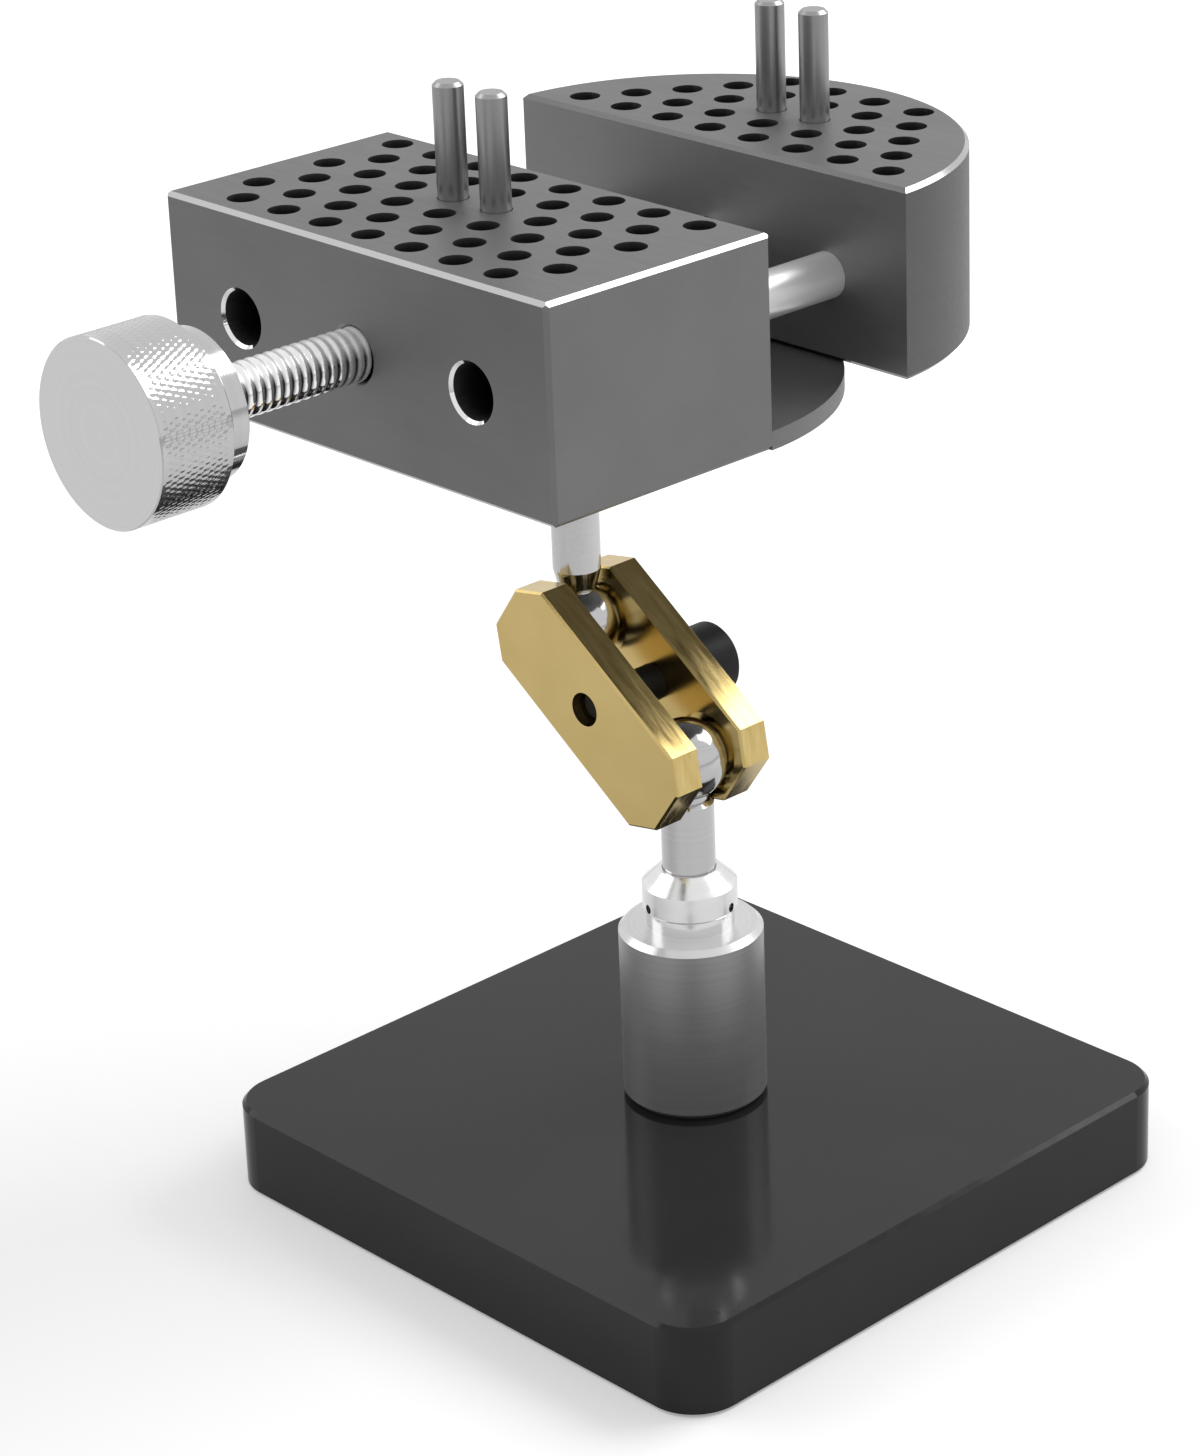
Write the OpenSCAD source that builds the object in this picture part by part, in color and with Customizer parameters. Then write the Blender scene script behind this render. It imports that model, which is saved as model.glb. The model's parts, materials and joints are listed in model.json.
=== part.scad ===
// Universal vise: a screw-driven jaw head with a grid of pin holes, carried on a
// stand by an arm of two brass plates that grip one ball below and one ball above.
// Millimetres, +Z up. The origin is the middle of the pad's underside, on the table.

/* [Base] */
// Side of the square base block
base_side = 80; // [70:1:110]
// Height of the base block
base_h = 10.6; // [9.6:0.2:16]
// Radius of the base's upright corners
base_corner_r = 6; // [3:0.5:12]
// Bevel round the top edge of the base
base_bevel = 0.5; // [0.2:0.1:1.2]
// Thickness of the non-slip pad
pad_h = 1; // [0.8:0.1:1.4]
// How far the pad stands out below the base block
pad_proud = 0.4; // [0.2:0.1:0.6]
// Margin of bare base left round the pad
pad_margin = 3; // [2:0.5:8]

/* [Pillar] */
// Diameter of the pillar
pillar_d = 17.1; // [14:0.1:24]
// Height of the pillar above the base
pillar_h = 22; // [20:0.5:40]
// Bevel round both ends of the pillar
pillar_bevel = 0.7; // [0.3:0.1:1.2]
// Thread diameter of the bolt that holds the pillar from below
bolt_d = 6; // [4:0.5:6]
// Diameter of that bolt's head
bolt_head_d = 10; // [9:0.5:11]
// Height of that bolt's head
bolt_head_h = 5; // [3:0.5:5]
// Width across the hexagon socket of that bolt
bolt_key_w = 4; // [3:0.5:4]
// How far the bolt reaches into the pillar
bolt_bite = 8.5; // [6:0.5:9]
// Outside diameter of the washer under the bolt's head
bolt_washer_d = 12; // [11:0.5:14]
// Thickness of the washer under the bolt's head
bolt_washer_h = 1; // [0.6:0.1:1.2]

/* [Lower stud and lock collar] */
// Diameter of the lower stud's rod
rod_d = 6.3; // [5:0.1:6.3]
// Height of the lower ball's centre above the pillar
lower_rise = 20.8; // [18:0.1:36]
// Diameter of the shank that turns in the pillar
lower_shank_d = 5; // [3.5:0.1:5]
// Length of that shank
lower_shank_l = 10; // [6:0.5:10.5]
// Bevel at the shoulders and ends of rods, pins and shanks
rod_bevel = 0.4; // [0.2:0.05:0.6]
// Diameter of the neck under the lower ball
lower_neck_d = 5; // [4:0.1:5.4]
// Diameter of the spacer ring on the pillar
spacer_d = 10.4; // [9:0.1:12]
// Height of the spacer ring
spacer_h = 2; // [1:0.1:4]
// Diameter of the lock collar
collar_d = 11.2; // [9.5:0.1:14]
// Height of the lock collar's straight side
collar_h = 3.3; // [2.5:0.1:6]
// Height of the lock collar's cone
collar_cone_h = 1.9; // [1:0.1:3]
// Rim that the cone leaves round the rod
collar_lip = 0.4; // [0.2:0.05:0.8]
// Diameter of the collar's tommy-bar holes
tommy_d = 1.1; // [0.8:0.1:1.4]
// Depth of those holes
tommy_depth = 1.4; // [1:0.1:1.8]
// Height of those holes above the collar's foot
tommy_z = 0.95; // [0.9:0.05:1.6]
// Number of tommy-bar holes
tommy_count = 3; // [2:1:6]
// Turn of the first tommy-bar hole from the right-hand side
tommy_turn = 15; // [0:5:60]

/* [Ball arm] */
// Diameter of both balls
ball_d = 9.8; // [8.8:0.1:10.4]
// Distance between the two balls' centres
ball_spacing = 21.2; // [20.4:0.1:22.6]
// Rise of the arm above the level, in degrees, as it is set
arm_angle = 35.3; // [10:0.1:70]
// Length of a brass plate
plate_l = 32; // [31:0.5:40]
// Width of a brass plate
plate_w = 13; // [12:0.5:16]
// Thickness of a brass plate
plate_t = 4.3; // [3.6:0.1:6]
// Gap between the two plates
plate_gap = 6.6; // [6.5:0.05:7.2]
// Length cut from each corner of a plate
plate_cut = 3.25; // [2:0.05:4]
// Broken edge round each face of a plate
plate_bevel = 0.25; // [0.1:0.05:0.5]
// Diameter of the shallow recess round each ball seat
seat_ring_d = 9.2; // [8:0.1:10]
// Depth of that recess
seat_ring_depth = 0.5; // [0.2:0.05:0.6]

/* [Arm screw] */
// Thread diameter of the arm screw
arm_thread_d = 4; // [3:0.1:4]
// Diameter of its plain shaft
arm_shaft_d = 4.4; // [4.2:0.1:5]
// Gap left between the shaft's shoulder and the front plate
arm_shoulder_gap = 0.8; // [0.4:0.1:1.2]
// Depth of the screw's end below the front plate's face
arm_end_sunk = 1.6; // [0.6:0.1:1.6]
// Outside diameter of the washer under the knob
arm_washer_d = 8; // [6.5:0.1:8.6]
// Thickness of that washer
arm_washer_h = 0.5; // [0.4:0.1:1]
// Diameter of the black knob
arm_knob_d = 8.9; // [8:0.1:12]
// Height of the black knob
arm_knob_h = 5.6; // [5:0.1:9]
// Bevel round the black knob
arm_knob_bevel = 0.5; // [0.3:0.1:0.8]
// How far the shaft reaches into the knob
arm_knob_bite = 3.6; // [2.5:0.1:4.2]

/* [Upper stud] */
// Diameter of the upper stud
stud_d = 5.7; // [5:0.1:6.3]
// Height of the head's underside above the upper ball's centre
upper_rise = 28.7; // [26:0.1:40]
// Diameter of the neck above the upper ball
upper_neck_d = 4.4; // [3.6:0.1:4.8]
// Height of the taper from neck to stud
upper_taper_h = 2.6; // [1:0.1:4]
// Diameter of the shank that turns in the head
upper_shank_d = 4.6; // [3.5:0.1:4.8]
// Diameter of the boss under the head
boss_d = 15; // [12:0.5:24]
// Height of the boss under the head
boss_h = 5; // [4:0.1:8]
// How far the shank's hole runs on above the boss
boss_extra = 1; // [0.6:0.1:1.4]

/* [Jaw head] */
// Width of both jaws, and diameter of the rounded back
head_w = 63; // [60:0.5:70]
// Depth of the fixed jaw, front to back
block_d = 33; // [32.5:0.1:36]
// Height of the head
head_h = 24.8; // [24.6:0.1:32]
// Thickness of the ledge that the moving jaw slides on
ledge_t = 2.2; // [1.8:0.1:3.5]
// Opening of the jaws as set
jaw_open = 21.4; // [2:0.1:25]
// Bevel on the jaws' edges
head_bevel = 0.5; // [0.2:0.05:0.8]

/* [Pin holes] */
// Diameter of the pin holes
pin_hole_d = 3.7; // [3.2:0.05:4]
// Depth of the pin holes
pin_hole_depth = 8; // [5:0.1:8]
// Distance between holes along a row
pin_pitch = 7.13; // [6.5:0.01:7.4]
// Distance between rows
row_step = 5.15; // [4.8:0.01:5.3]
// Distance from the front edge to the fixed jaw's first row
front_row_first = 4.1; // [3.5:0.05:4.5]
// Distance from the jaw's flat face to the moving jaw's first row
rear_row_first = 4.2; // [3.2:0.05:4.5]
// Sideways shift of the fixed jaw's rows
front_row_shift = -1.2; // [-2:0.1:2]
// Rows in the fixed jaw
front_rows = 6; // [4:1:6]
// Rows in the moving jaw
rear_rows = 5; // [3:1:5]
// Holes in the longest rows
row_max = 8; // [4:2:8]

/* [Pins] */
// Height of the pins above the jaws
pin_proud = 13.3; // [8:0.1:20]
// Row of the fixed jaw, counted from 0, that holds its two pins
front_pin_row = 3; // [1:2:5]
// Row of the moving jaw, counted from 0, that holds its two pins
rear_pin_row = 2; // [0:2:4]

/* [Guides and lead screw] */
// Diameter of the guide rods
guide_d = 5.5; // [4:0.1:5.6]
// Distance of each guide rod from the middle
guide_x = 19.2; // [15:0.1:22]
// Height of guides and screw above the head's underside
guide_z = 12.4; // [11.4:0.1:12.4]
// Length of guide rod in front of the moving jaw's face
guide_reach = 32.5; // [30:0.1:32.5]
// Depth of guide rod held in the moving jaw
guide_bite = 14; // [10:0.5:18]
// Diameter of the relief at the front of each guide bore
relief_d = 6.4; // [5.8:0.1:6.4]
// Depth of that relief
relief_depth = 9; // [3:0.5:12]
// Bevel at the mouths of the front face's holes
mouth_bevel = 0.35; // [0.2:0.05:0.5]
// Diameter of the lead screw
lead_d = 6.2; // [4.5:0.1:6.2]
// Bare screw between the knob's hub and the front face, as set
lead_stand_off = 21; // [8:0.1:40]
// How far the screw's tip reaches into the moving jaw
lead_bite = 11; // [9:0.5:16]
// Diameter of the groove in the screw's tip
groove_d = 4.2; // [3.4:0.1:4.2]
// Width of that groove
groove_w = 2.6; // [2.4:0.1:3.4]
// Distance from the jaw's face to the middle of the groove
groove_y = 6; // [4:0.1:6.5]

/* [Lead knob] */
// Diameter of the knurled knob
knob_d = 20.9; // [18:0.1:24]
// Length of the knurled knob
knob_l = 9.4; // [6:0.1:14]
// Diameter of the knob's hub
hub_d = 16.9; // [13:0.1:17.5]
// Length of the knob's hub
hub_l = 3.6; // [3.4:0.1:8]
// Bevel on the knob and hub
knob_bevel = 0.4; // [0.2:0.1:0.8]
// Thickness of knob left in front of the screw
knob_face_t = 3.4; // [2:0.1:5]

/* [Grub screws] */
// Diameter of the grub screws in the moving jaw
grub_d = 3; // [2.5:0.1:3.2]
// Length of the grub screws that hold the guide rods
grub_l = 5; // [3:0.1:5.5]
// Distance from the jaw's face to the guide rods' grub screws
grub_y = 7; // [5:0.1:9]
// Diameter of the keeper screw's point
keeper_point_d = 2.2; // [1.6:0.1:2.2]
// Diameter of the grub screw in the knob's hub
hub_grub_d = 2.5; // [2:0.1:2.6]
// Width across the hexagon sockets of the grub screws
grub_key_w = 1.3; // [1:0.1:1.3]
// Depth of those sockets
grub_key_depth = 1.4; // [1:0.1:1.8]

/* [Clearances] */
// Radial clearance of everything that turns or slides
run_gap = 0.05; // [0.02:0.01:0.1]
// Radial clearance of the loose pins in their holes
pin_gap = 0.08; // [0.05:0.01:0.1]
// Radial clearance of pieces that are fastened together
set_gap = 0.02; // [0.01:0.01:0.05]
// Gap between the moving jaw and its ledge
slide_gap = 0.1; // [0.05:0.01:0.2]
// Gap round loose inserts and at the ends of blind holes
loose_gap = 0.3; // [0.2:0.05:0.5]

/* [Hidden] */
$fn = 96;

// Overrun of a cutter past the face that it leaves through
over = 1;
// Slope of the broken edges, in degrees
edge_slope = 45;
// Turn from a hexagon's corner to the middle of the flat beside it
hex_turn = 30;

base_top = pad_proud + base_h;
pillar_top = base_top + pillar_h;
spacer_top = pillar_top + spacer_h;
collar_top = spacer_top + collar_h + collar_cone_h;

ball_r = ball_d / 2;
lower_ball_z = pillar_top + lower_rise;
upper_ball_x = -ball_spacing * cos(arm_angle);
upper_ball_z = lower_ball_z + ball_spacing * sin(arm_angle);
arm_x = upper_ball_x / 2;
arm_z = (lower_ball_z + upper_ball_z) / 2;
plate_in = plate_gap / 2;
plate_out = plate_in + plate_t;

pin_d = pin_hole_d - 2 * pin_gap;

back_r = head_w / 2;
head_z = upper_ball_z + upper_rise;
jaw_h = head_h - ledge_t - slide_gap;
jaw_z = ledge_t + slide_gap;
// Distance from the jaws' parting plane forward to the middle of the rounded back
back_offset = block_d - back_r;
jaw_depth = back_r - back_offset;

// Outline with its four corners cut, from the origin
function cut_rect(w, h, c) =
    [[c, 0], [w - c, 0], [w, c], [w, h - c], [w - c, h], [c, h], [0, h - c], [0, c]];

// Half section of a round bar from z1 to z2, with both ends beveled
function bar_section(r, z1, z2, c) =
    [[0, z1], [r - c, z1], [r, z1 + c], [r, z2 - c], [r - c, z2], [0, z2]];

module round_bar(d, z1, z2, c) {
    rotate_extrude() polygon(bar_section(d / 2, z1, z2, c));
}

// Puts a child at the head: x from the stud's axis, y from the front face,
// z from the head's underside
module at_head() {
    translate([upper_ball_x, -back_r, head_z]) children();
}

// Puts a child at the moving jaw: y from the jaw's flat face
module at_jaw() {
    at_head() translate([0, block_d + jaw_open, 0]) children();
}

// Turns a child that points up so that it points to the back
module to_back() {
    rotate([-90, 0, 0]) children();
}

module rounded_plate(side, r, h) {
    linear_extrude(h) union() {
        square([side - 2 * r, side], center = true);
        square([side, side - 2 * r], center = true);
        for (sx = [-1, 1], sy = [-1, 1])
            translate([sx * (side / 2 - r), sy * (side / 2 - r)]) circle(r);
    }
}

// A slab that runs along X, with its top edges beveled
module beveled_slab(run, wide, h, c) {
    rotate([90, 0, 90]) linear_extrude(run, center = true)
        polygon([[-wide / 2, 0], [wide / 2, 0], [wide / 2, h - c],
                 [wide / 2 - c, h], [-wide / 2 + c, h], [-wide / 2, h - c]]);
}

module base_block() {
    straight = base_side - 2 * base_corner_r;
    bolt_bore_d = bolt_d + 2 * loose_gap;
    well_d = bolt_washer_d + 2 * loose_gap;
    well_top = pad_h + loose_gap + bolt_head_h + bolt_washer_h;
    color("#3a3a3c") difference() {
        translate([0, 0, pad_proud]) union() {
            beveled_slab(straight, base_side, base_h, base_bevel);
            rotate(90) beveled_slab(straight, base_side, base_h, base_bevel);
            for (sx = [-1, 1], sy = [-1, 1])
                translate([sx * straight / 2, sy * straight / 2])
                    rotate_extrude() polygon([[0, 0], [base_corner_r, 0],
                        [base_corner_r, base_h - base_bevel],
                        [base_corner_r - base_bevel, base_h], [0, base_h]]);
        }
        rounded_plate(base_side - 2 * pad_margin, base_corner_r, pad_h);
        cylinder(d = well_d, h = well_top);
        cylinder(d = bolt_bore_d, h = base_top + over);
    }
}

module base_pad() {
    color("#1d1d1f")
        rounded_plate(base_side - 2 * pad_margin - 2 * loose_gap, base_corner_r - loose_gap, pad_h);
}

module pillar() {
    color("#9a9b9d") difference() {
        round_bar(pillar_d, base_top, pillar_top, pillar_bevel);
        translate([0, 0, base_top - over])
            cylinder(d = bolt_d + 2 * set_gap, h = bolt_bite + loose_gap + over);
        translate([0, 0, pillar_top - lower_shank_l - loose_gap])
            cylinder(d = lower_shank_d + 2 * run_gap, h = lower_shank_l + loose_gap + over);
    }
}

module pillar_bolt() {
    head_z1 = pad_h + loose_gap;
    head_z2 = head_z1 + bolt_head_h;
    color("#55565a") difference() {
        union() {
            round_bar(bolt_head_d, head_z1, head_z2, rod_bevel);
            round_bar(bolt_d, head_z1 + rod_bevel, base_top + bolt_bite, rod_bevel);
        }
        translate([0, 0, head_z1 - over])
            cylinder(d = bolt_key_w / cos(hex_turn), h = bolt_head_h / 2 + over, $fn = 6);
    }
}

module bolt_washer() {
    washer_z = pad_h + loose_gap + bolt_head_h;
    color("#b8babd") difference() {
        translate([0, 0, washer_z]) cylinder(d = bolt_washer_d, h = bolt_washer_h);
        translate([0, 0, washer_z - over])
            cylinder(d = bolt_d + 2 * loose_gap, h = bolt_washer_h + 2 * over);
    }
}

module spacer_ring() {
    color("#c9cacb") difference() {
        translate([0, 0, pillar_top]) cylinder(d = spacer_d, h = spacer_h);
        translate([0, 0, pillar_top - over])
            cylinder(d = rod_d + 2 * run_gap, h = spacer_h + 2 * over);
    }
}

module lock_collar() {
    r = collar_d / 2;
    lip_r = rod_d / 2 + run_gap + collar_lip;
    shoulder = spacer_top + collar_h;
    color("#dcdcda") difference() {
        rotate_extrude() polygon([[0, spacer_top], [r - collar_lip, spacer_top],
            [r, spacer_top + collar_lip], [r, shoulder], [lip_r, collar_top], [0, collar_top]]);
        translate([0, 0, spacer_top - over])
            cylinder(d = rod_d + 2 * run_gap, h = collar_top - spacer_top + 2 * over);
        for (k = [0 : tommy_count - 1])
            rotate(k * 360 / tommy_count + tommy_turn)
                translate([r - tommy_depth, 0, spacer_top + tommy_z])
                    rotate([0, 90, 0]) cylinder(d = tommy_d, h = tommy_depth + over);
    }
}

module lower_ball_stud() {
    rod_top = lower_ball_z - ball_r;
    color("#d2d2d0") union() {
        translate([0, 0, lower_ball_z]) sphere(d = ball_d);
        translate([0, 0, rod_top - over])
            cylinder(d = lower_neck_d, h = ball_r + over);
        round_bar(rod_d, pillar_top, rod_top, rod_bevel);
        round_bar(lower_shank_d, pillar_top - lower_shank_l, pillar_top + over, rod_bevel);
    }
}

module upper_ball_stud() {
    boss_face = head_z - boss_h;
    neck_top = upper_ball_z + ball_r - rod_bevel;
    shank_top = head_z + boss_extra - loose_gap;
    color("#d2d2d0") translate([upper_ball_x, 0, 0]) union() {
        translate([0, 0, upper_ball_z]) sphere(d = ball_d);
        rotate_extrude() polygon([[0, upper_ball_z], [upper_neck_d / 2, upper_ball_z],
            [upper_neck_d / 2, neck_top], [stud_d / 2, neck_top + upper_taper_h],
            [stud_d / 2, boss_face - rod_bevel], [stud_d / 2 - rod_bevel, boss_face],
            [0, boss_face]]);
        round_bar(upper_shank_d, boss_face - over, shank_top, rod_bevel);
    }
}

// Puts a child at the middle of the arm, with X down along the arm to the lower ball
module at_arm() {
    translate([arm_x, 0, arm_z]) rotate([0, arm_angle, 0]) children();
}

// One brass plate between y1 and y2, with its corners cut and its edges broken
module plate_blank(y1, y2) {
    outline = [for (p = cut_rect(plate_l, plate_w, plate_cut)) p - [plate_l / 2, plate_w / 2]];
    count = len(outline);
    reach = plate_bevel * sin(edge_slope);
    difference() {
        translate([0, y2, 0]) rotate([90, 0, 0]) linear_extrude(y2 - y1) polygon(outline);
        for (k = [0 : count - 1], y = [y1, y2]) {
            a = outline[k];
            b = outline[(k + 1) % count];
            side = b - a;
            translate([a[0], y, a[1]])
                rotate([0, -atan2(side[1], side[0]), 0])
                    translate([-over, 0, 0]) rotate([edge_slope, 0, 0])
                        translate([0, -reach, -reach])
                            cube([norm(side) + 2 * over, 2 * reach, 2 * reach]);
        }
    }
}

// The two spherical seats and their shallow rings
module ball_seats() {
    for (s = [-1, 1]) translate([s * ball_spacing / 2, 0, 0]) {
        sphere(d = ball_d + 2 * run_gap);
        translate([0, -plate_in - seat_ring_depth, 0])
            to_back() cylinder(d = seat_ring_d, h = plate_gap + 2 * seat_ring_depth);
    }
}

module arm_plate_rear() {
    color("#c3ad78") at_arm() difference() {
        plate_blank(plate_in, plate_out);
        ball_seats();
        to_back() cylinder(d = arm_shaft_d + 2 * run_gap, h = plate_out + over);
    }
}

module arm_plate_front() {
    color("#c3ad78") at_arm() difference() {
        plate_blank(-plate_out, -plate_in);
        ball_seats();
        translate([0, -plate_out - over, 0])
            to_back() cylinder(d = arm_thread_d + 2 * run_gap, h = plate_t + 2 * over);
    }
}

module arm_screw() {
    shoulder_y = -plate_in + arm_shoulder_gap;
    knob_y = plate_out + arm_washer_h;
    color("#26262a") at_arm() to_back() union() {
        round_bar(arm_thread_d, -plate_out + arm_end_sunk, shoulder_y + over, rod_bevel);
        round_bar(arm_shaft_d, shoulder_y, knob_y + arm_knob_bite, rod_bevel);
    }
}

module arm_washer() {
    color("#2c2c30") at_arm() to_back() difference() {
        translate([0, 0, plate_out]) cylinder(d = arm_washer_d, h = arm_washer_h);
        translate([0, 0, plate_out - over])
            cylinder(d = arm_shaft_d + 2 * run_gap, h = arm_washer_h + 2 * over);
    }
}

module arm_knob() {
    knob_y = plate_out + arm_washer_h;
    color("#232327") at_arm() to_back() difference() {
        round_bar(arm_knob_d, knob_y, knob_y + arm_knob_h, arm_knob_bevel);
        translate([0, 0, knob_y - over])
            cylinder(d = arm_shaft_d + 2 * set_gap, h = arm_knob_bite + loose_gap + over);
    }
}

// Middles of the holes of one row, in a grid whose rows are offset by half a pitch
function row_x(count) = [for (i = [0 : count - 1]) (i - (count - 1) / 2) * pin_pitch];
function front_count(row) = row % 2 == 0 ? row_max - 1 : row_max;
function rear_count(row) = row_max - row;
function front_row_y(row) = front_row_first + row * row_step;
function rear_row_y(row) = rear_row_first + row * row_step;

module pin_hole(x, y) {
    translate([x, y, head_h - pin_hole_depth])
        cylinder(d = pin_hole_d, h = pin_hole_depth + over);
}

// A hole that opens at the front face, with a beveled mouth
module front_hole(x, d, depth) {
    translate([x, -over, guide_z]) to_back() cylinder(d = d, h = depth + over);
    translate([x, 0, guide_z]) to_back() rotate_extrude()
        polygon([[0, -over], [d / 2 + mouth_bevel + over, -over], [d / 2, mouth_bevel],
                 [0, mouth_bevel]]);
}

module vise_body() {
    c = head_bevel;
    guide_bore_d = guide_d + 2 * run_gap;
    color("#757577") at_head() difference() {
        union() {
            intersection() {
                translate([-back_r, 0, 0])
                    linear_extrude(head_h) polygon(cut_rect(head_w, block_d, c));
                translate([-back_r, block_d, 0])
                    rotate([90, 0, 0]) linear_extrude(block_d) polygon(cut_rect(head_w, head_h, c));
                rotate([90, 0, 90]) linear_extrude(head_w, center = true)
                    polygon([[c, 0], [block_d, 0], [block_d, head_h - c], [block_d - c, head_h],
                             [c, head_h], [0, head_h - c], [0, c]]);
            }
            intersection() {
                translate([0, back_r, 0]) cylinder(r = back_r, h = ledge_t);
                translate([-back_r, block_d - c, 0]) cube([head_w, back_r + over, ledge_t]);
            }
            translate([0, back_r, -boss_h]) cylinder(d = boss_d, h = boss_h + ledge_t / 2);
        }
        translate([0, back_r, -boss_h - over])
            cylinder(d = upper_shank_d + 2 * run_gap, h = boss_h + boss_extra + over);
        for (s = [-1, 1]) {
            front_hole(s * guide_x, relief_d, relief_depth);
            front_hole(s * guide_x, guide_bore_d, block_d + over);
        }
        front_hole(0, lead_d + 2 * run_gap, block_d + over);
        for (row = [0 : front_rows - 1], x = row_x(front_count(row)))
            pin_hole(x + front_row_shift, front_row_y(row));
    }
}

module rear_jaw() {
    c = head_bevel;
    tip_bore = lead_bite + loose_gap;
    color("#757577") at_jaw() difference() {
        translate([0, 0, jaw_z]) intersection() {
            translate([0, -back_offset, 0]) rotate_extrude()
                polygon([[0, 0], [back_r - c, 0], [back_r, c], [back_r, jaw_h - c],
                         [back_r - c, jaw_h], [0, jaw_h]]);
            rotate([90, 0, 90]) linear_extrude(head_w, center = true)
                polygon([[c, 0], [back_r + over, 0], [back_r + over, jaw_h], [c, jaw_h],
                         [0, jaw_h - c], [0, c]]);
        }
        for (s = [-1, 1]) {
            translate([s * guide_x, -over, guide_z])
                to_back() cylinder(d = guide_d + 2 * set_gap, h = guide_bite + over);
            translate([s * guide_x, grub_y, jaw_z - over])
                cylinder(d = grub_d + 2 * set_gap, h = guide_z - jaw_z + over);
        }
        translate([0, -over, guide_z])
            to_back() cylinder(d = lead_d + 2 * run_gap, h = tip_bore + over);
        translate([0, groove_y, jaw_z - over])
            cylinder(d = grub_d + 2 * set_gap, h = guide_z - jaw_z + over);
        for (row = [0 : rear_rows - 1], x = row_x(rear_count(row)))
            pin_hole(x, rear_row_y(row));
    }
}

// One guide rod, held in the moving jaw and sliding in the fixed one
module guide_rod(s) {
    color("#a5a6a8") at_jaw() translate([s * guide_x, 0, guide_z])
        to_back() round_bar(guide_d, -guide_reach, guide_bite, rod_bevel);
}
module guide_rod_left() { guide_rod(-1); }
module guide_rod_right() { guide_rod(1); }

// A grub screw from z1 up to z2, with its hexagon socket below
module grub(d, z1, z2) {
    difference() {
        round_bar(d, z1, z2, rod_bevel / 2);
        translate([0, 0, z1 - over])
            cylinder(d = grub_key_w / cos(hex_turn), h = grub_key_depth + over, $fn = 6);
    }
}

module rod_grub(s) {
    tip = guide_z - guide_d / 2;
    color("#3c3c40") at_jaw() translate([s * guide_x, grub_y, 0]) grub(grub_d, tip - grub_l, tip);
}
module rod_grub_left() { rod_grub(-1); }
module rod_grub_right() { rod_grub(1); }

// The lead screw: its tip is grooved, so that the keeper holds it in the moving jaw
module lead_screw() {
    back_end = block_d + jaw_open + lead_bite;
    front_end = -lead_stand_off - hub_l - knob_l + knob_face_t;
    groove_mid = block_d + jaw_open + groove_y;
    r = lead_d / 2;
    color("#d8d8d8") at_head() translate([0, 0, guide_z]) to_back() rotate_extrude()
        polygon([[0, front_end], [r - rod_bevel, front_end], [r, front_end + rod_bevel],
            [r, groove_mid - groove_w / 2], [groove_d / 2, groove_mid - groove_w / 2],
            [groove_d / 2, groove_mid + groove_w / 2], [r, groove_mid + groove_w / 2],
            [r, back_end - rod_bevel], [r - rod_bevel, back_end], [0, back_end]]);
}

// The keeper's point runs in the lead screw's groove
module keeper_screw() {
    tip = guide_z - groove_d / 2 - slide_gap;
    shoulder = guide_z - lead_d / 2 - loose_gap;
    color("#3c3c40") at_jaw() translate([0, groove_y, 0]) union() {
        grub(grub_d, shoulder - grub_l, shoulder);
        round_bar(keeper_point_d, shoulder - over, tip, rod_bevel / 2);
    }
}

module lead_knob() {
    hub_y = -lead_stand_off - hub_l;
    face_y = hub_y - knob_l;
    color("#d0d0cf") at_head() translate([0, 0, guide_z]) to_back() difference() {
        union() {
            round_bar(knob_d, face_y, hub_y, knob_bevel);
            round_bar(hub_d, hub_y - over, -lead_stand_off, knob_bevel);
        }
        translate([0, 0, face_y + knob_face_t - loose_gap])
            cylinder(d = lead_d + 2 * set_gap, h = knob_l + hub_l);
        translate([0, 0, -lead_stand_off - hub_l / 2]) rotate([-90, 0, 0])
            cylinder(d = hub_grub_d + 2 * set_gap, h = hub_d);
    }
}

module knob_grub() {
    hub_mid = -lead_stand_off - hub_l / 2;
    color("#3c3c40") at_head() translate([0, hub_mid, guide_z])
        grub(hub_grub_d, -hub_d / 2 + loose_gap, -lead_d / 2);
}

// One loose pin, standing in the hole at x and y of the head or of the jaw
module loose_pin(x, y) {
    color("#9b9c9e") translate([x, y, 0])
        round_bar(pin_d, head_h - pin_hole_depth, head_h + pin_proud, rod_bevel);
}
module front_pin(s) {
    middle = row_x(front_count(front_pin_row));
    at_head() loose_pin(s * abs(middle[row_max / 2]) + front_row_shift, front_row_y(front_pin_row));
}
module rear_pin(s) {
    middle = row_x(rear_count(rear_pin_row));
    at_jaw() loose_pin(s * abs(middle[(row_max - rear_pin_row) / 2]), rear_row_y(rear_pin_row));
}
module pin_front_left() { front_pin(-1); }
module pin_front_right() { front_pin(1); }
module pin_rear_left() { rear_pin(-1); }
module pin_rear_right() { rear_pin(1); }

base_block();
base_pad();
pillar();
pillar_bolt();
bolt_washer();
spacer_ring();
lock_collar();
lower_ball_stud();
arm_plate_rear();
arm_plate_front();
arm_screw();
arm_washer();
arm_knob();
upper_ball_stud();
vise_body();
rear_jaw();
guide_rod_left();
guide_rod_right();
rod_grub_left();
rod_grub_right();
lead_screw();
keeper_screw();
lead_knob();
knob_grub();
pin_front_left();
pin_front_right();
pin_rear_left();
pin_rear_right();
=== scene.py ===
# Universal vise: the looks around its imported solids.
# Lengths below are millimetres; MM turns them into Blender's metres.
import json
import math

import bmesh
import bpy
from mathutils import Matrix, Vector

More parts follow.
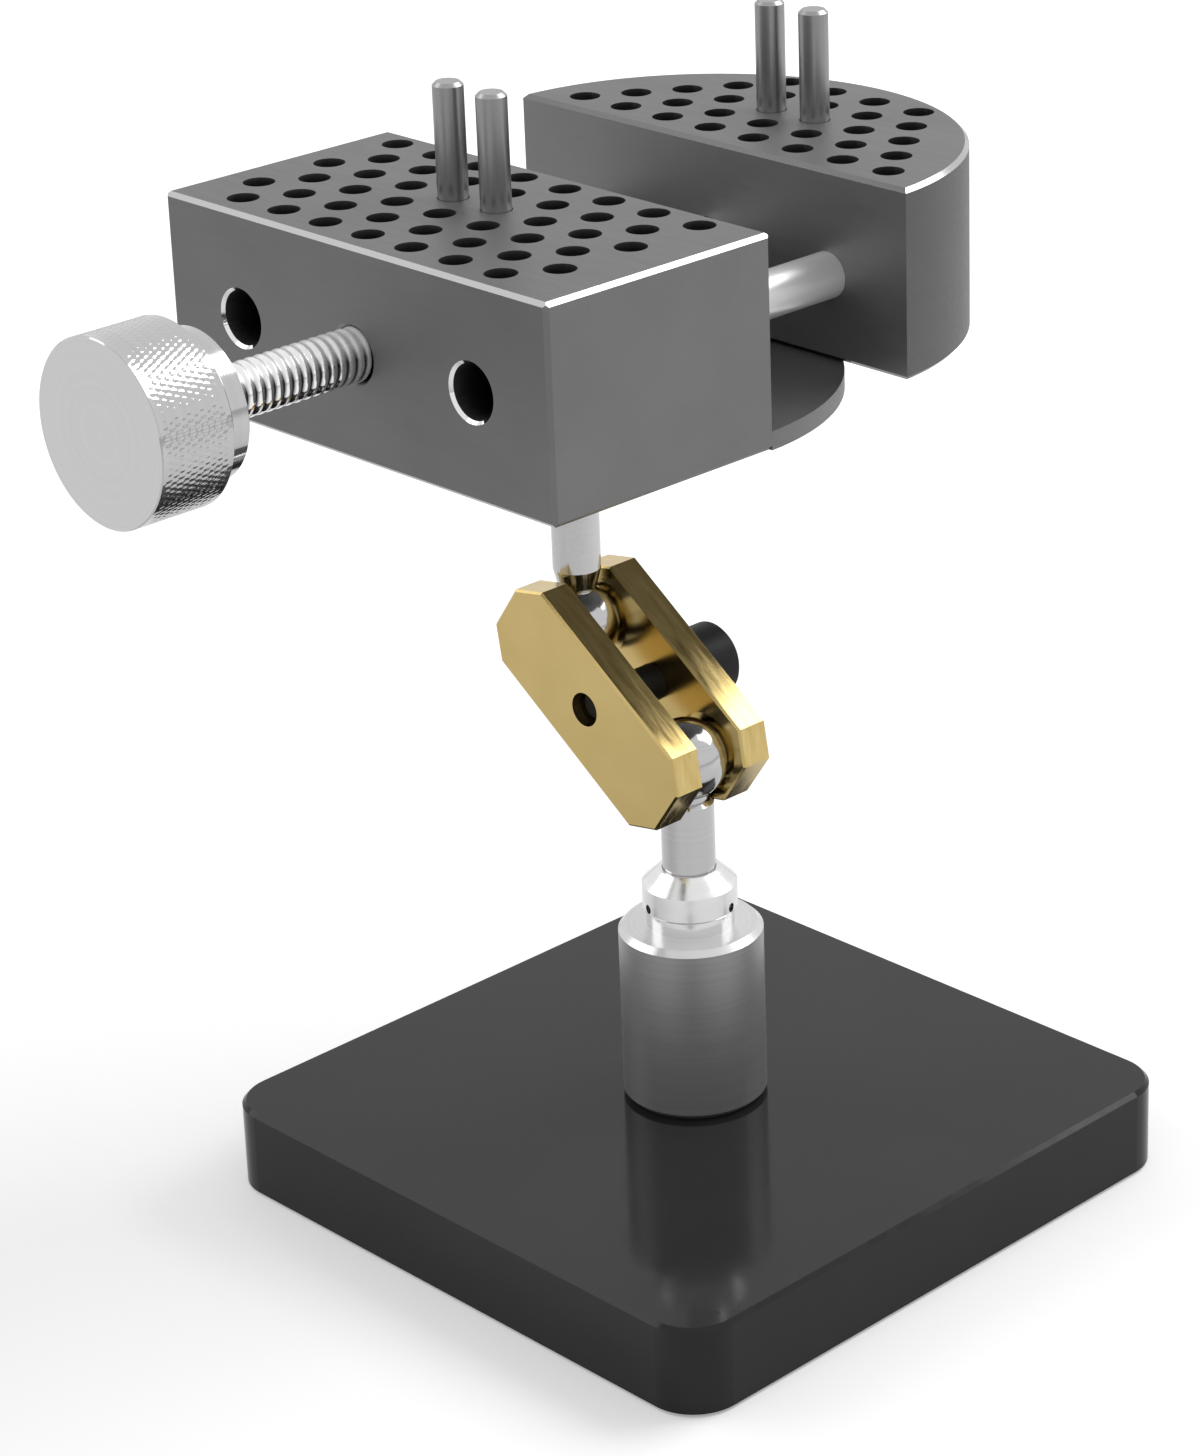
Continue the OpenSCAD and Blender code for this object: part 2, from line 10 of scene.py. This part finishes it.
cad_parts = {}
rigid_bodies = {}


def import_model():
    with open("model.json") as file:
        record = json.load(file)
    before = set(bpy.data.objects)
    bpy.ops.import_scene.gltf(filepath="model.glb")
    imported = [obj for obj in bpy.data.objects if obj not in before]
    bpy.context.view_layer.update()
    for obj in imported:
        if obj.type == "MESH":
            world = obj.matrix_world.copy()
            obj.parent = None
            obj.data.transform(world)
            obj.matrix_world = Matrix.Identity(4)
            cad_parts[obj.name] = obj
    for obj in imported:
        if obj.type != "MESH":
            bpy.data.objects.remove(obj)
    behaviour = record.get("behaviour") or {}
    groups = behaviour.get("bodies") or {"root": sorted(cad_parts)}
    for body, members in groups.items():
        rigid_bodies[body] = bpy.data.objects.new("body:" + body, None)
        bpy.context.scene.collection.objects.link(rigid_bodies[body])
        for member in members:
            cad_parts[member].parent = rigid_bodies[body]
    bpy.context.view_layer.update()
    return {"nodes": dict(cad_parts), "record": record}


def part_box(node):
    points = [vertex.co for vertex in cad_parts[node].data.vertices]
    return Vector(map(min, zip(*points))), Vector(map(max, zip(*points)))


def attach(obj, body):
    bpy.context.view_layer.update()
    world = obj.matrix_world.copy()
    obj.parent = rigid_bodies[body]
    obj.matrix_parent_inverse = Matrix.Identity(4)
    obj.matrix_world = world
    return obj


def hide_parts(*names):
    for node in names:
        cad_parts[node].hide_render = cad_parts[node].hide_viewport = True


MM = 0.001
FULL_TURN = 2 * math.pi
X, Y, Z = range(3)
WHITE = (1, 1, 1, 1)
CREASE = math.radians(40)  # edges between faces that meet at more than this are crisp
# How much of a face's normal lies along an axis
SQUARE_ON = 0.95  # at least, on a face square to the axis
BEVELLED = math.sqrt(0.5)  # on a 45 degree bevel
ALONGSIDE = 0.3  # at most, on a face that runs along the axis

for leftover in list(bpy.data.objects):
    bpy.data.objects.remove(leftover)
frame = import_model()
nodes = frame["nodes"]
scene = bpy.context.scene


# Places worked out from the frame

def middle(node):
    low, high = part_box(node)
    return (low + high) / 2


screw_axis = middle("lead_screw")
rod_axes = (middle("guide_rod_left"), middle("guide_rod_right"))
pillar_axis = middle("pillar")


# Node trees

class Tree:
    """Short ways to add nodes to a tree."""

    def __init__(self, tree):
        self.tree = tree

    def add(self, kind, **settings):
        node = self.tree.nodes.new(kind)
        for name, value in settings.items():
            setattr(node, name, value)
        return node

    def link(self, source, target):
        self.tree.links.new(source, target)

    def put(self, node, socket, value):
        """Links a socket to another node's output, or sets it to a plain value."""
        if isinstance(value, bpy.types.NodeSocket):
            self.link(value, node.inputs[socket])
        else:
            node.inputs[socket].default_value = value

    def math(self, operation, *values):
        node = self.add("ShaderNodeMath", operation=operation)
        for socket, value in enumerate(values):
            self.put(node, socket, value)
        return node.outputs[0]

    def spread(self, value, low, high, source=(0.3, 0.7)):
        """Maps a value's range to low..high. Without source, it is the usual range of a noise."""
        node = self.add("ShaderNodeMapRange")
        self.put(node, "Value", value)
        self.put(node, "From Min", source[0])
        self.put(node, "From Max", source[1])
        self.put(node, "To Min", low)
        self.put(node, "To Max", high)
        return node.outputs[0]


class Paint(Tree):
    """A material with a Principled shader."""

    def __init__(self, name):
        self.material = bpy.data.materials.new(name)
        self.material.use_nodes = True
        super().__init__(self.material.node_tree)
        self.shader = self.tree.nodes["Principled BSDF"]
        self.place = self.add("ShaderNodeTexCoord").outputs["Object"]

    def parts(self, vector):
        """The X, Y and Z of a vector."""
        node = self.add("ShaderNodeSeparateXYZ")
        self.link(vector, node.inputs[0])
        return node.outputs

    def squeezed(self, scale, turn=(0, 0, 0)):
        """Object coordinates, scaled and then turned."""
        mapping = self.add("ShaderNodeMapping")
        self.put(mapping, "Vector", self.place)
        self.put(mapping, "Scale", scale)
        self.put(mapping, "Rotation", turn)
        return mapping.outputs[0]

    def turned(self, centre, along):
        """Distance from a line through centre, and place along it."""
        shift = self.add("ShaderNodeVectorMath", operation="SUBTRACT")
        self.put(shift, 0, self.place)
        self.put(shift, 1, centre)
        parts = self.parts(shift.outputs[0])
        squares = [self.math("MULTIPLY", parts[k], parts[k]) for k in (X, Y, Z) if k != along]
        return self.math("SQRT", self.math("ADD", *squares)), parts[along]

    def near(self, centre, along, reach):
        """1 within reach of a line through centre, and 0 elsewhere."""
        return self.math("LESS_THAN", self.turned(centre, along)[0], reach)

    def facing(self, axis):
        """How far the surface faces along one of the object's own axes, -1 to 1."""
        local = self.add("ShaderNodeVectorTransform",
                         vector_type="NORMAL", convert_from="WORLD", convert_to="OBJECT")
        self.put(local, 0, self.add("ShaderNodeNewGeometry").outputs["True Normal"])
        return self.parts(local.outputs[0])[axis]

    def openness(self, reach):
        """1 on open faces, and towards 0 down in the piece's own holes, narrower than reach."""
        node = self.add("ShaderNodeAmbientOcclusion", only_local=True, samples=8)
        self.put(node, "Distance", reach)
        return node.outputs["AO"]

    def noise(self, vector, scale, detail=3.0):
        """Noise of scale features to a metre."""
        node = self.add("ShaderNodeTexNoise")
        self.put(node, "Vector", vector)
        self.put(node, "Scale", scale)
        self.put(node, "Detail", detail)
        return node.outputs["Fac"]

    def rings(self, centre, along, scale):
        """Noise in the fine rings that a lathe leaves round a line through centre."""
        radius, length = self.turned(centre, along)
        joined = self.add("ShaderNodeCombineXYZ")
        self.put(joined, 0, radius)
        self.put(joined, 1, length)
        return self.noise(joined.outputs[0], scale, detail=2)

    def mixed(self, first, share, second):
        """That share of first, and the rest of second."""
        return self.math("ADD", self.math("MULTIPLY", first, share),
                         self.math("MULTIPLY", second, 1 - share))

    def colours(self, fac, first, second):
        """A colour between first and second."""
        node = self.add("ShaderNodeMix", data_type="RGBA")
        self.put(node, "Factor", fac)
        for socket, value in (("A", first), ("B", second)):
            is_link = isinstance(value, bpy.types.NodeSocket)
            self.put(node, socket, value if is_link else (*value, 1))
        return node.outputs["Result"]

    def shade(self, noise, dark, light):
        """A colour that follows a noise from dark to light."""
        return self.colours(self.spread(noise, 0, 1), dark, light)

    def blend(self, fac, first, second):
        """A value between first and second."""
        node = self.add("ShaderNodeMix", data_type="FLOAT")
        for socket, value in (("Factor", fac), ("A", first), ("B", second)):
            self.put(node, socket, value)
        return node.outputs["Result"]

    def finish(self, base, rough, height, depth, metallic=0.0, ior=None):
        """Fills the shader's sockets. height is the bump's pattern and depth its millimetres."""
        self.put(self.shader, "Base Color", base)
        self.put(self.shader, "Roughness", rough)
        self.put(self.shader, "Metallic", metallic)
        if ior:
            self.put(self.shader, "IOR", ior)
        bump = self.add("ShaderNodeBump")
        self.put(bump, "Height", height)
        self.put(bump, "Distance", depth * MM)
        self.link(bump.outputs[0], self.shader.inputs["Normal"])
        return self.material


# Materials

def tint(value):
    """A grey of that brightness."""
    return (value, value, value)


def ground_metal(name, dark, light, rough, grain, depth, metallic=1.0):
    """Metal with a straight ground finish. grain squeezes the noise across the scratches."""
    paint = Paint(name)
    scratches = paint.noise(paint.squeezed(grain), 1.0, detail=4)
    clouds = paint.noise(paint.place, 90)
    base = paint.shade(paint.mixed(scratches, 0.5, clouds), tint(dark), tint(light))
    return paint.finish(base, paint.spread(scratches, *rough), scratches, depth, metallic)


def lathe_metal(name, dark, light, rough, centre, depth):
    """Metal with a lathe's rings round an upright line."""
    paint = Paint(name)
    marks = paint.rings(centre, Z, 2200)
    clouds = paint.noise(paint.place, 120)
    base = paint.shade(paint.mixed(marks, 0.6, clouds), tint(dark), tint(light))
    return paint.finish(base, paint.spread(marks, *rough), marks, depth, metallic=1.0)


def jaw_steel(name, front_bevel_highlight, face, side):
    """Dark ground steel with painted highlights on its bevels, painted light and shade on its faces by
    which way they face, and painted shade in its holes.

    The first of the three numbers is the brightness of the painted highlight on the front's bevels.
    face and side say how bright the painted light and shade make the front and the other upright faces,
    as shares of the top's brightness.
    """
    dark, light = 0.157, 0.172
    rough, edge_rough = (0.44, 0.50), 0.2
    # brightness of the painted highlight on the top bevels
    top_bevel_highlight = 0.42
    bevel_range = 0.22
    least_lean = 0.004
    # painted shade in the holes: its colour, how far it reaches and the openness over which it fades
    hole_shade, hole_reach, hole_openness = 0.02, 7 * MM, (0.35, 0.7)
    mouth_bright, mouth_rough, mouth_reach = 0.75, 0.06, 5 * MM
    paint = Paint(name)
    grain = paint.noise(paint.squeezed((160, 1500, 1500)), 1.0, detail=4)
    clouds = paint.noise(paint.place, 90)
    ahead, up = paint.facing(Y), paint.facing(Z)
    level = paint.math("ABSOLUTE", up)

    def steel(share):
        return paint.shade(clouds, tint(dark * share), tint(light * share))

    # painted light and shade: the upright faces and the front get lighter or darker copies of the
    # steel, by which way they face
    colour = paint.colours(paint.math("LESS_THAN", level, ALONGSIDE), steel(1), steel(side))
    colour = paint.colours(paint.math("LESS_THAN", ahead, -SQUARE_ON), colour, steel(face))
    front = paint.math("COMPARE", ahead, -BEVELLED, bevel_range)
    top = paint.math("COMPARE", up, BEVELLED, bevel_range)
    # upright edges and the round side don't lean, and stay as they are
    leaning = paint.math("GREATER_THAN", level, least_lean)
    bevel = paint.math("MULTIPLY", paint.math("MAXIMUM", front, top), leaning)
    # painted highlight: the front and top bevels get a lighter colour
    colour = paint.colours(bevel, colour, paint.colours(front, tint(top_bevel_highlight), tint(front_bevel_highlight)))
    # painted shade darkens the holes and inner corners, and the mouths of the guide rods' bores are
    # polished
    unshaded = paint.spread(paint.openness(hole_reach), 0, 1, hole_openness)
    colour = paint.colours(unshaded, tint(hole_shade), colour)
    bores = paint.math("MAXIMUM", *(paint.near(axis, Y, mouth_reach) for axis in rod_axes))
    mouth = paint.math("MULTIPLY", bores, front)
    satin = paint.blend(bevel, paint.spread(grain, *rough), edge_rough)
    return paint.finish(
        base=paint.colours(mouth, colour, tint(mouth_bright)),
        rough=paint.blend(mouth, satin, mouth_rough),
        height=grain, depth=0.002, metallic=paint.blend(mouth, 0.8, 1.0))


def plate_brass():
    """Polished brass: nearly plain faces, and slanting grinding marks round the edges."""
    slant = (math.radians(35), math.radians(20), 0)
    edge_most = 0.5  # of its normal along the plates' thickness
    face_relief = 0.08
    paint = Paint("plate_brass")
    soft = paint.noise(paint.place, 150)
    marks = paint.noise(paint.squeezed((120, 1300, 240), slant), 1.0, detail=5)
    edge = paint.math("LESS_THAN", paint.math("ABSOLUTE", paint.facing(Y)), edge_most)
    shade = paint.blend(edge, paint.spread(soft, 0.35, 0.65), paint.spread(marks, 0, 1))
    return paint.finish(
        base=paint.colours(shade, (0.51, 0.37, 0.14), (0.66, 0.51, 0.22)),
        rough=paint.blend(edge, 0.2, paint.spread(marks, 0.12, 0.24)),
        height=paint.math("MULTIPLY", marks, paint.blend(edge, face_relief, 1.0)),
        depth=0.006, metallic=1.0)


def pillar_steel():
    """Turned steel: a satin side, and an upward bevel and end face that are smoother and carry a
    painted highlight.
    """
    end_least = 0.4  # of its normal upwards
    paint = Paint("turned_steel")
    marks = paint.rings(pillar_axis, Z, 2200)
    end = paint.math("GREATER_THAN", paint.facing(Z), end_least)
    side = paint.shade(marks, tint(0.32), tint(0.35))
    # painted highlight: the upward faces get a lighter copy of the steel
    painted_lit_end = paint.shade(marks, tint(0.64), tint(0.70))
    return paint.finish(
        base=paint.colours(end, side, painted_lit_end),
        rough=paint.blend(end, paint.spread(marks, 0.33, 0.37), 0.22),
        height=marks, depth=0.0005, metallic=0.7)


def thread_chrome(crest, root):
    """The screw's chrome: duller and lighter along its upper side, where the lighter colour is a
    painted highlight, and with painted shade darkening the thread's roots below.
    """
    upper_range = (0.2, 0.65)  # of a normal's part upwards, over which the upper side begins
    paint = Paint("thread_chrome")
    marks = paint.rings(screw_axis, Y, 1500)
    upper = paint.spread(paint.facing(Z), 0, 1, upper_range)
    radius, _ = paint.turned(screw_axis, Y)
    # painted shade: the thread's roots are darkened towards black
    root_shaded = paint.colours(paint.spread(radius, 0, 1, (root, crest)), tint(0.05), tint(0.9))
    return paint.finish(
        # painted highlight: the upper side gets a lighter colour
        base=paint.colours(upper, root_shaded, tint(0.95)),
        rough=paint.blend(upper, paint.spread(marks, 0.06, 0.10), 0.28),
        height=marks, depth=0.0003, metallic=paint.blend(upper, 1.0, 0.4))


def screw_chrome():
    """Chrome whose flat end carries a painted highlight, a little lighter than round the knob."""
    paint = Paint("screw_chrome")
    marks = paint.rings(screw_axis, Y, 1500)
    end = paint.math("LESS_THAN", paint.facing(Y), -SQUARE_ON)
    rim = paint.shade(marks, tint(0.50), tint(0.53))
    # painted highlight: the flat end gets a lighter copy of the chrome
    lit_flat = paint.shade(marks, tint(0.58), tint(0.61))
    return paint.finish(
        base=paint.colours(end, rim, lit_flat), rough=paint.spread(marks, 0.08, 0.10),
        height=marks, depth=0.0003, metallic=1.0)


def black_steel():
    """Blued steel, with the oxide's faint mottling."""
    paint = Paint("black_steel")
    clouds = paint.noise(paint.place, 400, detail=4)
    return paint.finish(
        base=paint.shade(clouds, (0.012, 0.012, 0.014), (0.019, 0.019, 0.022)),
        rough=paint.spread(clouds, 0.42, 0.52),
        height=paint.noise(paint.place, 2500), depth=0.01, ior=1.25)


def base_black():
    """Dark lacquer with a slight orange peel."""
    paint = Paint("base_black")
    clouds = paint.noise(paint.place, 60, detail=4)
    return paint.finish(
        base=paint.shade(clouds, (0.014, 0.014, 0.015), (0.018, 0.018, 0.019)),
        rough=paint.spread(paint.noise(paint.place, 300), 0.08, 0.14),
        height=paint.noise(paint.place, 500), depth=0.002, ior=1.3)


def pad_rubber():
    """Matt rubber with a fine grain."""
    paint = Paint("pad_rubber")
    grain = paint.noise(paint.place, 1800, detail=5)
    return paint.finish(
        base=paint.shade(grain, (0.014, 0.014, 0.015), (0.028, 0.028, 0.03)),
        rough=paint.spread(grain, 0.7, 0.9), height=grain, depth=0.05)


def dress(material, *names):
    for name in names:
        for holder in nodes[name].material_slots:
            holder.material = material


UPRIGHT_GRAIN = (900, 900, 40)
LENGTHWISE_GRAIN = (900, 40, 900)
MATERIALS = {
    "base_black": base_black(),
    "pad_rubber": pad_rubber(),
    "turned_steel": pillar_steel(),
    "polished_steel": lathe_metal("polished_steel", 0.48, 0.54, (0.10, 0.15), (0, 0, 0), 0.001),
    "black_steel": black_steel(),
    "zinc_steel": lathe_metal("zinc_steel", 0.5, 0.62, (0.3, 0.42), (0, 0, 0), 0.004),
    "plate_brass": plate_brass(),
    "jaw_steel": jaw_steel("jaw_steel", front_bevel_highlight=0.25, face=1.02, side=1.12),
    "pin_steel": ground_metal("pin_steel", 0.305, 0.335, (0.28, 0.32), UPRIGHT_GRAIN, 0.0005),
    "screw_chrome": screw_chrome(),
}
for part in frame["record"]["subparts"]:
    dress(MATERIALS[part["material_slot"]], part["node"])
# nodes whose finish, or painted light and shade, differs a little from the others of their slot
dress(ground_metal("rod_steel", 0.74, 0.80, (0.3, 0.36), LENGTHWISE_GRAIN, 0.001, metallic=0.5),
      "guide_rod_left", "guide_rod_right")
dress(lathe_metal("collar_steel", 0.72, 0.78, (0.14, 0.2), pillar_axis, 0.001),
      "lock_collar", "spacer_ring")
# the rear jaw's painted bevel highlight is dimmer, its front gets more painted light and its other
# upright faces more painted shade
dress(jaw_steel("rear_jaw_steel", front_bevel_highlight=0.095, face=1.25, side=0.72), "rear_jaw")


# Pieces

def crisp(mesh):
    mesh.shade_smooth()
    mesh.set_sharp_from_angle(angle=CREASE)


def finish_mesh(name, shape, slot):
    """Turns a bmesh into a piece that takes a slot's material."""
    bmesh.ops.recalc_face_normals(shape, faces=shape.faces)
    mesh = bpy.data.meshes.new(name)
    shape.to_mesh(mesh)
    shape.free()
    crisp(mesh)
    mesh.materials.append(MATERIALS[slot])
    piece = bpy.data.objects.new(name, mesh)
    scene.collection.objects.link(piece)
    return piece


def on_circle(axis, radius, y, turn):
    """A point round an axis that runs along Y. turn counts whole turns."""
    angle = FULL_TURN * turn
    return (axis.x + radius * math.cos(angle), y, axis.z + radius * math.sin(angle))


def ring(shape, axis, radius, y, count):
    return [shape.verts.new(on_circle(axis, radius, y, k / count)) for k in range(count)]


def join_rings(shape, first, second):
    count = len(first)
    for k in range(count):
        after = (k + 1) % count
        shape.faces.new((first[k], first[after], second[after], second[k]))


def lathe_run(shape, axis, profile, count, first=None):
    """Rings through a profile of (radius, y) points, closed at its start unless it goes on from first.

    Returns the last ring.
    """
    last = first
    for radius, y in profile:
        made = ring(shape, axis, radius, y, count)
        if last is None:
            shape.faces.new(made)
        else:
            join_rings(shape, last, made)
        last = made
    return last


def drill(piece, place, radius, deep):
    """Cuts a hole that goes straight up into a piece from place."""
    over = 0.5 * MM  # how far the bit starts below place
    shape = bmesh.new()
    bmesh.ops.create_cone(
        shape, cap_ends=True, segments=32, radius1=radius, radius2=radius, depth=deep + over,
        matrix=Matrix.Translation(place + Vector((0, 0, (deep - over) / 2))))
    mesh = bpy.data.meshes.new("drill")
    shape.to_mesh(mesh)
    shape.free()
    drill_bit = bpy.data.objects.new("drill", mesh)
    scene.collection.objects.link(drill_bit)
    cut = piece.modifiers.new("drilled", "BOOLEAN")
    cut.operation = "DIFFERENCE"
    cut.solver = "EXACT"
    cut.object = drill_bit
    depsgraph = bpy.context.evaluated_depsgraph_get()
    cut_mesh = bpy.data.meshes.new_from_object(piece.evaluated_get(depsgraph))
    piece.modifiers.clear()
    crisp(cut_mesh)
    piece.data = cut_mesh
    bpy.data.objects.remove(drill_bit)


def lead_screw_thread():
    """The lead screw with its thread cut, from the knob to the plain grooved tip."""
    sides = 96
    pitch = 1.25 * MM
    depth = 0.15 * MM
    # the roots below this share of the depth get painted shade
    unshaded_share = 0.4  # share of the depth, from the crest down
    bevel = 0.4 * MM
    groove_r = 2.1 * MM
    groove_half = 1.3 * MM
    groove_from_end = 5.0 * MM
    plain_tip = 9.0 * MM
    plain_foot = 5.5 * MM
    # share of a pitch, and share of the depth there: a V with a narrow root and crest
    profile = [(0, 0), (0.08, 0), (0.29, 0.5), (0.5, 1), (0.58, 1), (0.79, 0.5)]
    low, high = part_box("lead_screw")
    radius = (high.x - low.x) / 2
    start = low.y + plain_foot
    turns = round((high.y - plain_tip - start) / pitch)
    steps = turns * sides
    end = start + turns * pitch

    def thread_radius(share, y):
        """The cut runs in from nothing over the first pitch, and out again over the last."""
        runout = min(1, max(0, (y - start) / pitch), max(0, (end - y) / pitch))
        return radius - depth * share * runout

    shape = bmesh.new()
    foot_profile = [(radius - bevel, low.y), (radius, low.y + bevel), (radius, start - pitch)]
    foot = lathe_run(shape, screw_axis, foot_profile, sides)

    # the thread: a column of points for each step round, one profile long
    columns = []
    for step in range(steps + 1):
        column = []
        for share, level in profile:
            y = min(start + pitch * (step / sides + share - 1), end)
            column.append(shape.verts.new(
                on_circle(screw_axis, thread_radius(level, y), y, (step % sides) / sides)))
        columns.append(column)
    last = len(profile) - 1
    for step in range(steps):
        here, there = columns[step], columns[step + 1]
        for k in range(last):
            shape.faces.new((here[k], there[k], there[k + 1], here[k + 1]))
        if step + sides + 1 <= steps:
            above, beside = columns[step + sides][0], columns[step + sides + 1][0]
            shape.faces.new((here[last], there[last], beside, above))

    # the foot's last ring meets the first turn, whose start is a step one pitch high
    for k in range(sides - 1):
        shape.faces.new((foot[k], foot[k + 1], columns[k + 1][0], columns[k][0]))
    shape.faces.new((foot[sides - 1], foot[0], *columns[0], columns[sides][0], columns[sides - 1][0]))

    # the last turn meets the plain tip, with the keeper's groove in it
    groove = high.y - groove_from_end
    tip_profile = [
        (radius, end + pitch / 4),
        (radius, groove - groove_half), (groove_r, groove - groove_half),
        (groove_r, groove + groove_half), (radius, groove + groove_half),
        (radius, high.y - bevel), (radius - bevel, high.y),
    ]
    collar = ring(shape, screw_axis, *tip_profile[0], sides)
    top = columns[steps - sides:]
    for k in range(sides - 1):
        shape.faces.new((top[k][last], top[k + 1][last], collar[k + 1], collar[k]))
    shape.faces.new((top[sides - 1][last], *top[sides], collar[0], collar[sides - 1]))
    shape.faces.new(lathe_run(shape, screw_axis, tip_profile[1:], sides, first=collar))

    piece = finish_mesh("lead_screw_thread", shape, "screw_chrome")
    piece.data.materials[0] = thread_chrome(radius - unshaded_share * depth, radius - depth)
    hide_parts("lead_screw")
    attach(piece, "drive")


def knurled_knob():
    """The lead screw's knob: a flat end, a diamond-knurled rim and a plain hub with a grub hole."""
    teeth = 90
    per_tooth = 5
    rows = 50
    depth = 0.08 * MM
    slant = 0.45  # millimetres round the rim for each millimetre along it
    run_in = 1 / 8  # share of the rim's width over which the knurl fades in and out
    bevel = 0.15 * MM
    hub_r = 8.45 * MM
    hub_l = 3.6 * MM
    grub_r = 1.27 * MM
    bore_gap = 0.02 * MM
    low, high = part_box("lead_knob")
    screw_low, screw_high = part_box("lead_screw")
    bore_r = (screw_high.x - screw_low.x) / 2 + bore_gap
    radius = (high.x - low.x) / 2
    shoulder = high.y - hub_l
    count = teeth * per_tooth
    width = shoulder - low.y - 2 * bevel
    tooth = FULL_TURN * radius / teeth

    shape = bmesh.new()
    end_profile = [(radius - bevel, low.y), (radius - depth / 2, low.y + bevel)]
    last = lathe_run(shape, screw_axis, end_profile, count)
    for row in range(rows + 1):
        along = row / rows
        fade = min(1, along / run_in, (1 - along) / run_in)
        shift = slant * along * width / tooth
        made = []
        for k in range(count):
            turn = k / per_tooth
            one = abs(math.sin(math.pi * (turn + shift)))
            other = abs(math.sin(math.pi * (turn - shift)))
            r = radius - depth * fade * (1 - min(one, other))
            made.append(shape.verts.new(
                on_circle(screw_axis, r, low.y + bevel + width * along, k / count)))
        join_rings(shape, last, made)
        last = made
    hub_profile = [
        (radius - bevel, shoulder), (hub_r, shoulder), (hub_r, high.y - bevel),
        (hub_r - bevel, high.y), (bore_r, high.y), (bore_r, high.y - 2 * bevel),
    ]
    shape.faces.new(lathe_run(shape, screw_axis, hub_profile, count, first=last))
    piece = finish_mesh("knurled_knob", shape, "screw_chrome")
    hub_foot = Vector((screw_axis.x, high.y - hub_l / 2, screw_axis.z - hub_r))
    drill(piece, hub_foot, grub_r, hub_r)
    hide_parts("lead_knob")
    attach(piece, "drive")


lead_screw_thread()
knurled_knob()


# Camera

def aim_camera():
    """A long lens at the photograph's viewing angle, with its slight shift."""
    frame_long_side = 1456
    focal_px = 4131
    shift_px = (180, 148)
    yaw, pitch, roll = (math.radians(a) for a in (134.73, 21.73, -1.21))
    place = Vector((314.5, -301.4, 249.3)) * MM
    forward = Vector((
        math.cos(pitch) * math.cos(yaw), math.cos(pitch) * math.sin(yaw), -math.sin(pitch)))
    level = Vector((math.sin(yaw), -math.cos(yaw), 0))
    upright = level.cross(forward)
    right = level * math.cos(roll) + upright * math.sin(roll)
    up = upright * math.cos(roll) - level * math.sin(roll)
    data = bpy.data.cameras.new("camera")
    data.sensor_fit = "AUTO"
    data.sensor_width = 36
    data.lens = focal_px * data.sensor_width / frame_long_side
    data.shift_x = -shift_px[0] / frame_long_side
    data.shift_y = -shift_px[1] / frame_long_side
    data.clip_start, data.clip_end = 10 * MM, 50_000 * MM
    camera = bpy.data.objects.new("camera", data)
    turned = Matrix((right, up, -forward)).transposed().to_4x4()
    camera.matrix_world = Matrix.Translation(place) @ turned
    scene.collection.objects.link(camera)
    scene.camera = camera


# Studio

def studio_world():
    """White where it is seen or mirrored, and a dimmer white as a light."""
    ambient = 0.58
    world = bpy.data.worlds.new("studio")
    world.use_nodes = True
    world.node_tree.nodes.clear()
    tree = Tree(world.node_tree)
    path = tree.add("ShaderNodeLightPath").outputs
    seen = tree.math("MAXIMUM", path["Is Camera Ray"], path["Is Glossy Ray"])
    seen = tree.math("MAXIMUM", seen, path["Is Transmission Ray"])
    mix = tree.add("ShaderNodeMixShader")
    tree.link(seen, mix.inputs[0])
    for socket, strength in ((1, ambient), (2, 1.0)):
        light = tree.add("ShaderNodeBackground")
        tree.put(light, "Color", WHITE)
        tree.put(light, "Strength", strength)
        tree.link(light.outputs[0], mix.inputs[socket])
    tree.link(mix.outputs[0], tree.add("ShaderNodeOutputWorld").inputs["Surface"])
    scene.world = world


def studio_floor():
    """A wide white floor. What sees it directly also sees a little glow, so it meets the background."""
    size = 8000 * MM
    albedo = 0.86
    glow = (0.27, 0.6)
    glow_zone = (120 * MM, 600 * MM)  # from the middle, over which the glow rises
    mirrored_glow = 0.12
    bpy.ops.mesh.primitive_plane_add(size=size)
    floor = bpy.context.object
    floor.name = "floor"
    material = bpy.data.materials.new("floor_white")
    material.use_nodes = True
    material.node_tree.nodes.clear()
    tree = Tree(material.node_tree)
    diffuse = tree.add("ShaderNodeBsdfDiffuse")
    tree.put(diffuse, "Color", (albedo, albedo, albedo, 1))
    reach = tree.add("ShaderNodeVectorMath", operation="LENGTH")
    tree.put(reach, 0, tree.add("ShaderNodeNewGeometry").outputs["Position"])
    rise = tree.spread(reach.outputs["Value"], *glow, glow_zone)
    path = tree.add("ShaderNodeLightPath").outputs
    seen = tree.math("MULTIPLY", rise, path["Is Camera Ray"])
    lift = tree.add("ShaderNodeEmission")
    tree.put(lift, "Strength", tree.math("MULTIPLY_ADD", path["Is Glossy Ray"], mirrored_glow, seen))
    total = tree.add("ShaderNodeAddShader")
    tree.link(diffuse.outputs[0], total.inputs[0])
    tree.link(lift.outputs[0], total.inputs[1])
    tree.link(total.outputs[0], tree.add("ShaderNodeOutputMaterial").inputs["Surface"])
    floor.data.materials.append(material)


def soft_box(name, place, size, radiance):
    """A square lamp that faces the vise. radiance is its brightness as a mirror shows it."""
    aim = Vector((-5, 0, 60))
    data = bpy.data.lights.new(name, "AREA")
    data.shape = "SQUARE"
    data.size = size * MM
    data.energy = radiance * math.pi * (size * MM) ** 2
    lamp = bpy.data.objects.new(name, data)
    lamp.location = Vector(place) * MM
    lamp.rotation_mode = "QUATERNION"
    lamp.rotation_quaternion = ((aim - Vector(place)) * MM).to_track_quat("-Z", "Y")
    lamp.visible_camera = False
    scene.collection.objects.link(lamp)


scene.view_settings.view_transform = "Standard"
aim_camera()
studio_world()
studio_floor()
soft_box("key", place=(160, 430, 520), size=390, radiance=4.6)
soft_box("fill", place=(-420, -300, 420), size=380, radiance=1.5)
